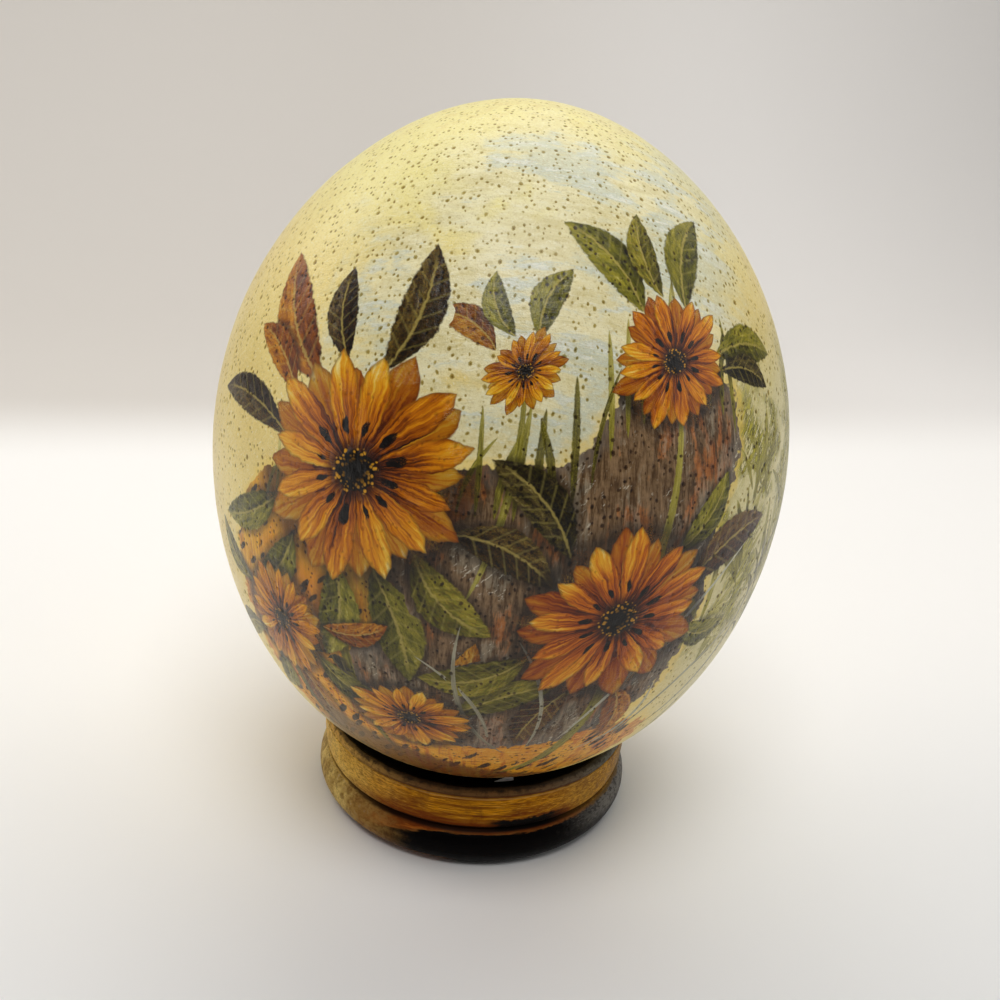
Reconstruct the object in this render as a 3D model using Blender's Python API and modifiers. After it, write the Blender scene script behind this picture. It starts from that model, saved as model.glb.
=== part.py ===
"""Painted ostrich egg resting, blunt end down, on a turned wooden ring stand.

Metres, +Z up. The origin is on the stand's axis, at the surface that the stand rests on. The egg
leans a little towards +X, and can be lifted off its seat.
"""

import math

import bpy

MM = 0.001
GAP = 0.3 * MM  # between the egg and the seat, which touch in the real object
MERGE = 0.00001

# Egg: a body of revolution about its long axis, fuller towards its lower, blunt end.
EGG_RADIUS = 65.0 * MM
EGG_HALF_LENGTH = 77.7 * MM
EGG_TAPER = 0.008  # narrows evenly from the bottom to the top
EGG_SHOULDER = 0.067  # fills out the blunt end and slims the pointed one
EGG_LEAN = math.radians(1.85)
EGG_STEPS = 56
EGG_RINGS = 30

# Stand: a ring turned from hardwood. Heights are above the surface that it rests on.
ROLL_RADIUS = 39.0 * MM  # the base roll, at its widest
ROLL_WIDEST = 5.4 * MM
ROLL_DEPTH = 5.8 * MM  # from its widest line in to where it meets the foot
ROLL_SHOULDER = 4.6 * MM  # the same above its widest line, where it is fuller
ROLL_EDGE = 57.0  # degrees up its section at which the groove cuts it
GROOVE_RADIUS = 36.2 * MM
GROOVE_WIDTH = 0.4 * MM  # at its bottom
BAND_RADIUS = 38.0 * MM  # the convex band, at the arris along its top
BAND_TOP = 19.5 * MM
BAND_FOOT = 10.9 * MM
BAND_SWELL = 1.2 * MM  # how far its foot is set back
LIP_RADIUS = 37.8 * MM  # the rounded lip, just inside the arris
RIM_RADIUS = 36.5 * MM  # the rim's crest, the highest line of the stand
RIM_HEIGHT = 21.8 * MM
SEAT_RADIUS = 30.2 * MM  # the inner edge of the dished seat, which carries the egg
SEAT_HEIGHT = 19.7 * MM
BORE_RADIUS = 29.5 * MM
CHAMFER = 0.6 * MM
STAND_STEPS = 64


def material(name, colour, roughness):
    """A plain Principled material for one piece."""
    made = bpy.data.materials.new(name)
    made.use_nodes = True
    shader = made.node_tree.nodes["Principled BSDF"]
    shader.inputs["Base Color"].default_value = (*colour, 1.0)
    shader.inputs["Roughness"].default_value = roughness
    shader.inputs["Metallic"].default_value = 0.0
    return made


def arc(centre, semi_axes, start, end, count):
    """Points on an ellipse's arc, from start to end in degrees, 0 being outward and 90 up."""
    points = []
    for i in range(count):
        angle = math.radians(start + (end - start) * i / (count - 1))
        radius = centre[0] + semi_axes[0] * math.cos(angle)
        points.append((radius, centre[1] + semi_axes[1] * math.sin(angle)))
    return points


def turned(name, outline, closed, steps, finish, collection):
    """One solid of revolution about its own Z axis, from an outline that runs down its outer side."""
    edges = [(i, i + 1) for i in range(len(outline) - 1)]
    if closed:
        edges.append((len(outline) - 1, 0))
    mesh = bpy.data.meshes.new(name)
    mesh.from_pydata([(radius, 0.0, height) for radius, height in outline], edges, [])
    solid = bpy.data.objects.new(name, mesh)
    collection.objects.link(solid)
    screw = solid.modifiers.new("Turn", "SCREW")
    screw.axis = "Z"
    screw.steps = steps
    screw.render_steps = steps
    screw.use_merge_vertices = True
    screw.merge_threshold = MERGE
    screw.use_smooth_shade = True
    mesh.materials.append(finish)
    return solid


def egg_point(angle):
    """Radius and height on the egg's outline, from angle 0 at its top to pi at its bottom."""
    height = math.cos(angle)
    swell = 1.0 - EGG_TAPER * height - EGG_SHOULDER * height**3
    return EGG_RADIUS * math.sin(angle) * swell, EGG_HALF_LENGTH * height


def egg_normal(angle):
    """The outline's outward unit normal at an angle."""
    step = 0.001
    above, below = egg_point(angle - step), egg_point(angle + step)
    out, up = above[1] - below[1], below[0] - above[0]
    length = math.hypot(out, up)
    return out / length, up / length


def egg_rest():
    """Where the upright egg's centre lies on the seat, and the point that it can lean about.

    The outline pushed out by GAP passes through the seat's inner edge. The surface normals there
    meet in one point on the axis, so a small turn about that point keeps the gap all round.
    """
    high, low = math.pi / 2, math.pi
    for _ in range(40):
        middle = (high + low) / 2
        if egg_point(middle)[0] + GAP * egg_normal(middle)[0] > SEAT_RADIUS:
            high = middle
        else:
            low = middle
    radius, height = egg_point(high)
    out, up = egg_normal(high)
    centre = SEAT_HEIGHT - (height + GAP * up)
    return centre, centre + height - radius * up / out


def build_egg(collection):
    outline = [egg_point(math.pi * i / EGG_RINGS) for i in range(EGG_RINGS + 1)]
    outline[0] = (0.0, EGG_HALF_LENGTH)
    outline[-1] = (0.0, -EGG_HALF_LENGTH)
    finish = material("painted_shell", (0.78, 0.68, 0.46), 0.28)
    egg = turned("egg", outline, False, EGG_STEPS, finish, collection)
    centre, pivot = egg_rest()
    reach = centre - pivot
    egg.location = (reach * math.sin(EGG_LEAN), 0.0, pivot + reach * math.cos(EGG_LEAN))
    egg.rotation_euler = (0.0, EGG_LEAN, 0.0)


def stand_outline():
    """The ring's section, from the rim down the outer side, under the foot and up the bore."""
    rim = arc((RIM_RADIUS, RIM_HEIGHT - CHAMFER), (CHAMFER, CHAMFER), 140, 90, 3)
    lip_base = BAND_TOP + 0.3 * MM
    lip = arc((RIM_RADIUS, lip_base), (LIP_RADIUS - RIM_RADIUS, RIM_HEIGHT - lip_base), 72, 0, 5)
    arris = [(BAND_RADIUS, BAND_TOP + 0.2 * MM)]
    band = arc((BAND_RADIUS - BAND_SWELL, BAND_TOP), (BAND_SWELL, BAND_TOP - BAND_FOOT), 0, -84, 8)
    shoulder = arc((ROLL_RADIUS - ROLL_SHOULDER, ROLL_WIDEST), (ROLL_SHOULDER, ROLL_WIDEST), ROLL_EDGE, 0, 6)
    roll = arc((ROLL_RADIUS - ROLL_DEPTH, ROLL_WIDEST), (ROLL_DEPTH, ROLL_WIDEST), 0, -90, 9)
    middle = (band[-1][1] + shoulder[0][1]) / 2
    groove = [(GROOVE_RADIUS, middle + GROOVE_WIDTH / 2), (GROOVE_RADIUS, middle - GROOVE_WIDTH / 2)]
    foot = [(BORE_RADIUS + CHAMFER, 0.0), (BORE_RADIUS, CHAMFER)]
    seat_size = (SEAT_RADIUS - BORE_RADIUS, SEAT_RADIUS - BORE_RADIUS)
    seat = arc((SEAT_RADIUS, SEAT_HEIGHT - seat_size[1]), seat_size, 180, 100, 4)
    return rim + lip + arris + band + groove + shoulder[:-1] + roll + foot + seat


def build_stand(collection):
    finish = material("stained_wood", (0.30, 0.16, 0.05), 0.4)
    turned("stand", stand_outline(), True, STAND_STEPS, finish, collection)


def main():
    for item in list(bpy.data.objects):
        bpy.data.objects.remove(item, do_unlink=True)
    collection = bpy.data.collections.new("ostrich_egg")
    bpy.context.scene.collection.children.link(collection)
    build_egg(collection)
    build_stand(collection)


main()
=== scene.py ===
"""Looks of a painted ostrich egg on a turned wooden ring stand.

Lengths in this script are millimetres, turned into metres where a mesh, light or camera is made.
The painting is a generic flower spray: orange daisies, leaves and grass on a dark brushed ground.
"""

import math

import bpy
import numpy as np
from mathutils import Matrix, Vector, kdtree, noise
from mathutils.geometry import delaunay_2d_cdt


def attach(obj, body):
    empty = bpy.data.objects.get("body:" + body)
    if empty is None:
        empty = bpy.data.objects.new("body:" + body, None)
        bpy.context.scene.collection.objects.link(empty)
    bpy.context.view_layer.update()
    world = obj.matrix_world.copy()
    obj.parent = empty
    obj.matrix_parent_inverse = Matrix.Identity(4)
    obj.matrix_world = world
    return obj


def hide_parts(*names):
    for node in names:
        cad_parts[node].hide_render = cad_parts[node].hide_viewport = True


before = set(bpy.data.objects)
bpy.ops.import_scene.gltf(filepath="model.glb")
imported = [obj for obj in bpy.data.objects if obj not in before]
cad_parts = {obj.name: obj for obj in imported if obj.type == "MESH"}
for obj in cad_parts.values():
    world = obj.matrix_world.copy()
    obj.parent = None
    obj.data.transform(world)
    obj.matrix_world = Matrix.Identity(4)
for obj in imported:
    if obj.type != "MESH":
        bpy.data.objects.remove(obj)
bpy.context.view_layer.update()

MM = 0.001
SEED = 11

# Egg, as in the solid: a body of revolution that leans a little in its seat.
EGG_RADIUS = 65.0
EGG_HALF_LENGTH = 77.7
EGG_TAPER = 0.008
EGG_SHOULDER = 0.067
EGG_LEAN = math.radians(1.85)
EGG_CENTRE = 89.83  # height of the upright egg's centre above the floor
EGG_PIVOT = 66.13  # height of the point that it leans about
INSET = 0.20  # the shell's mesh lies this far inside the solid

# Stand, as in the solid: a ring turned from hardwood. Heights are above the floor.
ROLL_RADIUS = 39.0  # the base roll, at its widest
ROLL_WIDEST = 5.4
ROLL_DEPTH = 5.8
ROLL_SHOULDER = 4.6  # the same above its widest line, where it is fuller
ROLL_EDGE = 57.0  # degrees up its section at which the groove cuts it
GROOVE_RADIUS = 36.2
GROOVE_WIDTH = 0.4
BAND_RADIUS = 38.0
BAND_TOP = 19.5
BAND_FOOT = 10.9
BAND_SWELL = 1.2  # how far its foot is set back
LIP_RADIUS = 37.8
RIM_RADIUS = 36.5
RIM_HEIGHT = 21.8
SEAT_RADIUS = 30.2
SEAT_HEIGHT = 19.7
BORE_RADIUS = 29.5
CHAMFER = 0.6
STAND_SIDES = 240
ARRIS = 0.25  # how far its sharp edges are worn back
SHARP = math.radians(25.0)  # the least turn of its section that counts as a sharp edge
WEAR = 0.10  # how far its outside lies within the solid, on the whole
WAVES = 0.05  # height of its slight waves
WAVE_LENGTHS = (9.0, 2.5)
RIDGES = 0.03  # height of the turner's marks
RIDGE_RATE = 1.6  # of them to a millimetre, about
FLECK_STEPS = 7  # along the sliver that lies on the seat
FLECK_START = 9.5  # degrees round the seat, to the right of the front
FLECK_SWEEP = 7.5
FLECK_RADIUS = 33.9
FLECK_HEIGHT = 21.65
FLECK_RISE = 0.75
FLECK_THICKNESS = 0.18

# Camera, found from the egg's outline and the stand's edges in the photograph.
CAMERA_BACK = 259.8
CAMERA_HEIGHT = 189.0
CAMERA_PITCH = math.radians(23.305)
CAMERA_YAW = math.radians(-0.348)
CAMERA_ROLL = math.radians(4.621)
FOCAL_PIXELS = 1200.0
FRAME_PIXELS = 1000.0
SENSOR = 36.0
STAGE_TURN = math.radians(13.0)


def srgb(red, green, blue):
    """A colour given in display values from 0 to 255, as linear light."""
    parts = []
    for value in (red, green, blue):
        value /= 255
        parts.append(value / 12.92 if value <= 0.04045 else ((value + 0.055) / 1.055) ** 2.4)
    return (*parts, 1.0)


def new_mesh(name, points, faces, smooth=True):
    mesh = bpy.data.meshes.new(name)
    mesh.from_pydata((np.array(points) * MM).tolist(), [], faces)
    if smooth:
        mesh.shade_smooth()
    return mesh


def linked(name, data):
    """A new object in the scene."""
    made = bpy.data.objects.new(name, data)
    bpy.context.scene.collection.objects.link(made)
    return made


# ---- shader nodes


def operator(operation, swapped=False):
    """A method that adds a Math node to the graph of a Number."""

    def method(self, *others):
        return self.graph.math(operation, *((*others, self) if swapped else (self, *others)))

    return method


class Number:
    """A node's output in a shader, on which plain arithmetic adds Math nodes."""

    def __init__(self, graph, socket):
        self.graph = graph
        self.socket = socket

    __add__ = __radd__ = operator("ADD")
    __sub__ = operator("SUBTRACT")
    __rsub__ = operator("SUBTRACT", swapped=True)
    __mul__ = __rmul__ = operator("MULTIPLY")
    __truediv__ = operator("DIVIDE")
    __pow__ = operator("POWER")
    __abs__ = operator("ABSOLUTE")


class Graph:
    """A new material, to whose tree each call adds nodes and returns their output.

    Colours are tuples of display values.
    """

    def __init__(self, name):
        self.material = bpy.data.materials.new(name)
        self.material.use_nodes = True
        self.tree = self.material.node_tree
        self.tree.nodes.clear()

    def put(self, socket, value):
        """Links or sets a socket. A tuple with any of the nodes' outputs in it is joined to a vector."""
        if isinstance(value, tuple) and any(isinstance(part, Number) for part in value):
            value = self.node("ShaderNodeCombineXYZ", enumerate(value)).outputs[0]
        if isinstance(value, Number):
            value = value.socket
        if isinstance(value, bpy.types.NodeSocket):
            self.tree.links.new(value, socket)
        else:
            socket.default_value = srgb(*value) if socket.type == "RGBA" else value

    def node(self, kind, inputs=(), **settings):
        made = self.tree.nodes.new(kind)
        for name, value in settings.items():
            setattr(made, name, value)
        for key, value in dict(inputs).items():
            self.put(made.inputs[key], value)
        return made

    def math(self, operation, *values):
        made = self.node("ShaderNodeMath", enumerate(values), operation=operation)
        return Number(self, made.outputs[0])

    def most(self, a, b):
        return self.math("MAXIMUM", a, b)

    def ease(self, value, start, end, low=0, high=1):
        """Smooth step: low up to start, high from end on."""
        values = enumerate((value, start, end, low, high))
        made = self.node("ShaderNodeMapRange", values, interpolation_type="SMOOTHSTEP")
        return Number(self, made.outputs[0])

    def scaled(self, vector, factors):
        return self.node("ShaderNodeVectorMath", {0: vector, 1: factors}, operation="MULTIPLY").outputs[0]

    def split(self, vector):
        made = self.node("ShaderNodeSeparateXYZ", {0: vector})
        return [Number(self, out) for out in made.outputs]

    def place(self):
        """The place on the object, in millimetres."""
        return self.scaled(self.node("ShaderNodeTexCoord").outputs["Object"], (1 / MM,) * 3)

    def attribute(self, name, output="Fac"):
        return Number(self, self.node("ShaderNodeAttribute", attribute_name=name).outputs[output])

    def layer(self, name):
        """A layer of motifs: two coordinates on the motif, and its number, which is 0 beside it."""
        return self.split(self.attribute(name, "Vector"))

    def noise(self, vector, scale, detail, roughness=0.5, distortion=0, colour=False):
        inputs = {"Vector": vector, "Scale": scale, "Detail": detail}
        made = self.node("ShaderNodeTexNoise", {**inputs, "Roughness": roughness, "Distortion": distortion})
        return Number(self, made.outputs["Color" if colour else 0])

    def cells(self, vector, scale, randomness=1):
        """Distance to the nearest scattered point, and three random numbers that belong to it."""
        inputs = {"Vector": vector, "Scale": scale, "Randomness": randomness}
        made = self.node("ShaderNodeTexVoronoi", inputs)
        return Number(self, made.outputs["Distance"]), self.split(made.outputs["Color"])

    def chance(self, x, y):
        """Three even random numbers that hold wherever x and y keep their values."""
        return self.split(self.node("ShaderNodeTexWhiteNoise", {"Vector": (x, y, 0)}).outputs["Color"])

    def mix(self, factor, a, b, blend="MIX"):
        inputs = {0: factor, 6: a, 7: b}
        return self.node("ShaderNodeMix", inputs, data_type="RGBA", blend_type=blend).outputs[2]

    def coats(self, colour, *coats):
        """The colour under a row of coats, each given as its share and its own colour."""
        for share, coat in coats:
            colour = self.mix(share, colour, coat)
        return colour

    def finish(self, **sockets):
        """The material, once its surface shader has these sockets."""
        shader = self.node("ShaderNodeBsdfPrincipled")
        for name, value in sockets.items():
            self.put(shader.inputs[name.replace("_", " ")], value)
        output = self.node("ShaderNodeOutputMaterial")
        self.tree.links.new(shader.outputs[0], output.inputs["Surface"])
        return self.material


# ---- egg's mesh


def egg_point(angle, turn):
    """Point on the upright egg, from angle 0 at its top to pi at its bottom. Takes arrays."""
    height = np.cos(angle)
    swell = 1 - EGG_TAPER * height - EGG_SHOULDER * height**3
    radius = EGG_RADIUS * np.sin(angle) * swell
    return np.stack([radius * np.cos(turn), radius * np.sin(turn), EGG_HALF_LENGTH * height], -1)


def egg_normal(angle, turn):
    step = 0.0005
    along = egg_point(angle + step, turn) - egg_point(angle - step, turn)
    across = np.stack([-np.sin(turn), np.cos(turn), np.zeros_like(turn)], -1)
    normal = np.cross(along, across)
    return normal / np.linalg.norm(normal, axis=-1, keepdims=True)


def directions(angle, turn):
    """Unit vectors, with the angle measured from the top."""
    return np.stack([np.sin(angle) * np.cos(turn), np.sin(angle) * np.sin(turn), np.cos(angle)], -1)


def scatter(count, jitter, rng, gather=0):
    """Unit directions, spread evenly or gathered towards the top, and then moved a little at random."""
    steps = np.arange(count) + 0.5
    golden = math.pi * (3 - math.sqrt(5))
    share = steps / count
    share = share * (1 - gather) + share**2 * gather
    points = directions(np.arccos(1 - 2 * share), steps * golden)
    spacing = math.sqrt(4 * math.pi / count)
    return normalized(points + rng.normal(0, jitter * spacing, points.shape))


PORES = 6500  # clusters
PORE_JITTER = 0.36  # of their spacing
PORE_GATHER = 0.3  # 0 would spread them evenly from the bottom to the top
PORE_SIZES = (0.40, 0.84)  # half length
PORE_WIDTHS = (0.62, 1.0)  # of their length
PORE_DEPTH = 0.34  # of their half length
PORE_SIDES = 6
PORE_REACHES = (0.74, 1.0)  # of the full outline, at each corner
PORE_SHADES = (0.18, 1.0)  # from faint and shallow to dark and deep
PORE_OVERLAP = 0.05  # by which two pores' full outlines may overlap
PORE_MARGIN = 0.30  # kept free of fill round a pore
COMPANIONS = (0.80, 0.50)  # shares of the pores with a second one at their side, and a third
COMPANION_SIZES = (PORE_SIZES[0], 0.66)
COMPANION_GAPS = (-0.04, 0.16)
FILL = 24000  # points between the pores, before those near a pore go
FILL_JITTER = 0.22  # of their spacing
FILL_ROOM = 0.22  # kept free round each of them
SPHERE = 69.0  # mean radius, for small distances along the shell
POLE = math.radians(178.0)  # the last ring of points before the bottom
POLE_SIDES = 18
LOWEST_PORE = POLE - 0.03
LOWEST_FILL = POLE - 0.01
SWELL = 0.06  # height of the shell's slight waves
SWELL_LENGTHS = (16.0, 5.0)


def keep_apart(points, sizes, margin):
    """Indices of the points that stay when each later one that would touch an earlier one goes."""
    tree = kdtree.KDTree(len(points))
    for i, point in enumerate(points):
        tree.insert(point, i)
    tree.balance()
    reach = 2 * sizes.max() + margin
    kept = np.ones(len(points), bool)
    for i, point in enumerate(points):
        if kept[i]:
            for _, j, distance in tree.find_range(point, reach):
                if j > i and distance < sizes[i] + sizes[j] + margin:
                    kept[j] = False
    return np.flatnonzero(kept)


def normalized(vectors):
    return vectors / np.linalg.norm(vectors, axis=1, keepdims=True)


def scatter_pores(rng):
    """Directions and half lengths of the pores, in clusters of up to three."""
    pores = scatter(PORES, PORE_JITTER, rng, PORE_GATHER)
    rng.shuffle(pores)
    sizes = rng.uniform(0, 1, len(pores)) ** 1.3
    sizes = PORE_SIZES[0] + (PORE_SIZES[1] - PORE_SIZES[0]) * sizes
    single, single_sizes = pores, sizes
    for share in COMPANIONS:
        beside = single[: int(share * len(single))]
        new_sizes = rng.uniform(*COMPANION_SIZES, len(beside))
        aside = rng.normal(0, 1, beside.shape)
        aside = normalized(aside - beside * (aside * beside).sum(1, keepdims=True))
        gap = single_sizes[: len(beside)] + new_sizes + rng.uniform(*COMPANION_GAPS, len(beside))
        pores = np.concatenate([pores, beside + aside * gap[:, None] / SPHERE])
        sizes = np.concatenate([sizes, new_sizes])
    pores = normalized(pores)
    inside = pores[:, 2] > math.cos(LOWEST_PORE)
    pores, sizes = pores[inside], sizes[inside]
    kept = keep_apart(pores * SPHERE, sizes, -PORE_OVERLAP)
    return pores[kept], sizes[kept]


def scatter_fill(pores, sizes, rng):
    """Directions of the points that carry the plain shell between the pores."""
    fill = scatter(FILL, FILL_JITTER, rng)
    fill = fill[fill[:, 2] > math.cos(LOWEST_FILL)]
    both = np.concatenate([pores, fill]) * SPHERE
    room = np.concatenate([sizes + PORE_MARGIN, np.full(len(fill), FILL_ROOM)])
    kept = keep_apart(both, room, 0)
    return fill[kept[kept >= len(pores)] - len(pores)]


def pore_rims(pores, sizes, rng):
    """Directions of the corners round each pore: an array for each of the sides."""
    side = normalized(np.cross(pores, (0.3, 0.5, 0.8)))
    other = np.cross(pores, side)
    start = rng.uniform(0, math.tau, (len(pores), 1))
    long = side * np.cos(start) + other * np.sin(start)
    wide = other * np.cos(start) - side * np.sin(start)
    wide *= rng.uniform(*PORE_WIDTHS, (len(pores), 1))
    rims = []
    for i in range(PORE_SIDES):
        angle = math.tau * i / PORE_SIDES
        reach = sizes * rng.uniform(*PORE_REACHES, len(pores)) / SPHERE
        rims.append(pores + (long * math.cos(angle) + wide * math.sin(angle)) * reach[:, None])
    return rims


def shell_points():
    """Directions, pit depths and pore shades of every vertex of the shell but the lowest one."""
    rng = np.random.default_rng(SEED)
    pores, sizes = scatter_pores(rng)
    fill = scatter_fill(pores, sizes, rng)
    rims = pore_rims(pores, sizes, rng)
    bottom = math.tau * np.arange(POLE_SIDES) / POLE_SIDES
    last_ring = directions(np.full(POLE_SIDES, POLE), bottom)
    points = normalized(np.concatenate([pores, *rims, fill, last_ring]))
    depth, shade = np.zeros(len(points)), np.zeros(len(points))
    shade[: len(pores)] = rng.uniform(*PORE_SHADES, len(pores)) ** 0.8
    depth[: len(pores)] = sizes * PORE_DEPTH * shade[: len(pores)]
    return points, depth, shade


def wave(place, long, short):
    """Random waves of two lengths, mostly between -1 and 1, at a place."""
    return noise.noise(Vector(place) / long) + 0.5 * noise.noise(Vector(place) / short)


def shell_mesh():
    """The egg's surface: every pore is a small pit in one closed triangle mesh."""
    points, depth, shade = shell_points()
    angle = np.arccos(np.clip(points[:, 2], -1, 1))
    turn = np.arctan2(points[:, 1], points[:, 0])
    # Flattened from the bottom, so that one flat triangulation covers all but the last ring.
    flat = np.tan(angle / 2)
    flat_points = [Vector(p) for p in np.stack([flat * np.cos(turn), flat * np.sin(turn)], -1)]
    _, _, faces, origin, _, _ = delaunay_2d_cdt(flat_points, [], [], 0, 1e-12, True)
    order = np.array([o[0] for o in origin])
    angle, turn, depth, shade = angle[order], turn[order], depth[order], shade[order]
    places = egg_point(angle, turn)
    normals = egg_normal(angle, turn)
    waves = np.array([wave(place, *SWELL_LENGTHS) for place in places])
    places = places - normals * (INSET + depth + SWELL * (1 + waves))[:, None]

    ring = [i for i, o in enumerate(order) if o >= len(points) - POLE_SIDES]
    ring.sort(key=lambda i: turn[i])
    lowest = len(places)
    faces = [tuple(f) for f in faces]
    for i, here in enumerate(ring):
        faces.append((ring[(i + 1) % len(ring)], here, lowest))
    places = np.concatenate([places, [[0, 0, -EGG_HALF_LENGTH + INSET + SWELL]]])
    shade = np.append(shade, 0)

    mesh = new_mesh("egg_shell", in_seat(places), faces)
    store(mesh, "pore", shade)
    faces = np.array(faces)
    unwrap(mesh, eight_sided(places, faces))
    return mesh, places, faces


def eight_sided(places, faces):
    """Flat map places of the faces' corners: the shell's eight octants unfolded into a square."""
    corners = places[faces]
    signs = np.where(corners.mean(1, keepdims=True)[..., :2] < 0.0, -1.0, 1.0)
    flat = corners / np.abs(corners).sum(2, keepdims=True)
    upper = flat[..., :2]
    folded = corners[..., :2] * signs
    folded = folded / (folded.sum(2) + np.abs(corners[..., 2]))[..., None]
    lower = (1 - folded[..., ::-1]) * signs
    return np.where(corners[..., 2:] < 0, lower, upper).reshape(-1, 2) * 0.49 + 0.5


def in_seat(places):
    """The upright egg's points, moved to where they are when it leans in its seat."""
    reach = EGG_CENTRE - EGG_PIVOT
    centre = (reach * math.sin(EGG_LEAN), 0, EGG_PIVOT + reach * math.cos(EGG_LEAN))
    return places @ np.array(Matrix.Rotation(EGG_LEAN, 3, "Y")).T + centre


def store(mesh, name, values):
    """Keeps a number for every vertex or a vector for every face corner, for the shader to read."""
    values = np.asarray(values, np.float32)
    kinds = {1: ("FLOAT", "POINT", "value"), 2: ("FLOAT_VECTOR", "CORNER", "vector")}
    kind, domain, field = kinds[values.ndim]
    mesh.attributes.new(name, kind, domain).data.foreach_set(field, values.ravel())


def build_egg():
    mesh, places, faces = shell_mesh()
    lay_out_painting(mesh, places, faces)
    mesh.materials.append(shell_material())
    egg = linked("egg_shell", mesh)
    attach(egg, "root")
    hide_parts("egg")


# ---- stand's mesh


def arc(centre, semi_axes, start, end, count):
    """Points on an ellipse's arc, from start to end in degrees, 0 being outward and 90 up."""
    points = []
    for i in range(count):
        angle = math.radians(start + (end - start) * i / (count - 1))
        radius = centre[0] + semi_axes[0] * math.cos(angle)
        points.append((radius, centre[1] + semi_axes[1] * math.sin(angle)))
    return points


def stand_outline():
    """The ring's section, from the rim down the outer side, under the foot and up the bore."""
    rim = arc((RIM_RADIUS, RIM_HEIGHT - CHAMFER), (CHAMFER, CHAMFER), 140, 90, 6)
    lip_base = BAND_TOP + 0.3
    lip = arc((RIM_RADIUS, lip_base), (LIP_RADIUS - RIM_RADIUS, RIM_HEIGHT - lip_base), 78, 0, 10)
    arris = [(BAND_RADIUS, BAND_TOP + 0.2)]
    band = arc((BAND_RADIUS - BAND_SWELL, BAND_TOP), (BAND_SWELL, BAND_TOP - BAND_FOOT), 0, -84, 24)
    upper, lower = ROLL_RADIUS - ROLL_SHOULDER, ROLL_RADIUS - ROLL_DEPTH
    shoulder = arc((upper, ROLL_WIDEST), (ROLL_SHOULDER, ROLL_WIDEST), ROLL_EDGE, 0, 14)
    roll = arc((lower, ROLL_WIDEST), (ROLL_DEPTH, ROLL_WIDEST), 0, -90, 24)
    middle = (band[-1][1] + shoulder[0][1]) / 2
    groove = [(GROOVE_RADIUS, middle + GROOVE_WIDTH / 2), (GROOVE_RADIUS, middle - GROOVE_WIDTH / 2)]
    foot = [(BORE_RADIUS + CHAMFER, 0), (BORE_RADIUS, CHAMFER)]
    drop = SEAT_RADIUS - BORE_RADIUS
    seat = arc((SEAT_RADIUS, SEAT_HEIGHT - drop), (drop, drop), 180, 100, 6)
    return rim + lip + arris + band + groove + shoulder[:-1] + roll + foot + seat


def softened(outline):
    """The closed outline with its sharp corners worn to small curves."""
    points = [np.array(p) for p in outline]
    result = []
    for before, here, after in zip(points[-1:] + points[:-1], points, points[1:] + points[:1]):
        back, ahead = before - here, after - here
        back_length, ahead_length = np.linalg.norm(back), np.linalg.norm(ahead)
        if -(back @ ahead) > math.cos(SHARP) * back_length * ahead_length:
            result.append(here)
            continue
        back *= min(ARRIS, 0.45 * back_length) / back_length
        ahead *= min(ARRIS, 0.45 * ahead_length) / ahead_length
        for t in (0, 0.3, 0.7, 1):
            result.append(here + back * (1 - t) ** 2 + ahead * t**2)
    return np.array(result)


def build_stand():
    """A turned ring with the slight waves and dents of handwork."""
    outline = softened(stand_outline())
    count = len(outline)
    steps = np.linalg.norm(np.roll(outline, -1, 0) - outline, axis=1)
    along = np.concatenate([[0], np.cumsum(steps)]) / steps.sum()
    points = []
    for j in range(STAND_SIDES):
        turn = math.tau * j / STAND_SIDES
        for radius, height in outline:
            spot = Vector((radius * math.cos(turn), radius * math.sin(turn), height))
            ridge = noise.noise(Vector((height * RIDGE_RATE, radius * RIDGE_RATE, 7)))
            if radius > BORE_RADIUS + 1:
                radius -= WEAR + WAVES * wave(spot, *WAVE_LENGTHS) + RIDGES * ridge
            points.append((radius * math.cos(turn), radius * math.sin(turn), height))
    faces, places = [], []
    for j in range(STAND_SIDES):
        for i in range(count):
            here, beside = j * count, (j + 1) % STAND_SIDES * count
            faces.append((here + (i + 1) % count, beside + (i + 1) % count, beside + i, here + i))
            left, right = j / STAND_SIDES, (j + 1) / STAND_SIDES
            places += [(left, along[i + 1]), (right, along[i + 1]), (right, along[i]), (left, along[i])]
    mesh = new_mesh("stand_ring", points, faces)
    unwrap(mesh, places)
    mesh.materials.append(stand_material())
    ring = linked("stand_ring", mesh)
    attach(ring, "root")
    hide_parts("stand")


def build_fleck():
    """A pale sliver that lies on the seat, between the egg and the rim, a little right of the front."""
    top = []
    for i in range(FLECK_STEPS + 1):
        share = i / FLECK_STEPS
        turn = math.radians(FLECK_START + FLECK_SWEEP * share)
        rise = FLECK_RISE * math.sin(2.3 * share) ** 1.3
        foot = FLECK_HEIGHT + 0.1 * share
        for radius, height in ((FLECK_RADIUS, foot), (FLECK_RADIUS - 0.3 * rise, foot + 0.05 + 0.9 * rise)):
            top.append((radius * math.sin(turn), -radius * math.cos(turn), height))
    bottom = [(x, y, z - FLECK_THICKNESS) for x, y, z in top]
    faces = [(2 * i, 2 * i + 2, 2 * i + 3, 2 * i + 1) for i in range(FLECK_STEPS)]
    below = [tuple(len(top) + v for v in face[::-1]) for face in faces]
    rim = list(range(0, len(top), 2)) + list(range(len(top) - 1, 0, -2))
    sides = [(a, a + len(top), b + len(top), b) for a, b in zip(rim, rim[1:] + rim[:1])]
    mesh = new_mesh("fleck", top + bottom, faces + below + sides, smooth=False)
    mesh.materials.append(plain_material("fleck", (255, 250, 244), 0.5))
    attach(linked("fleck", mesh), "root")


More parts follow.
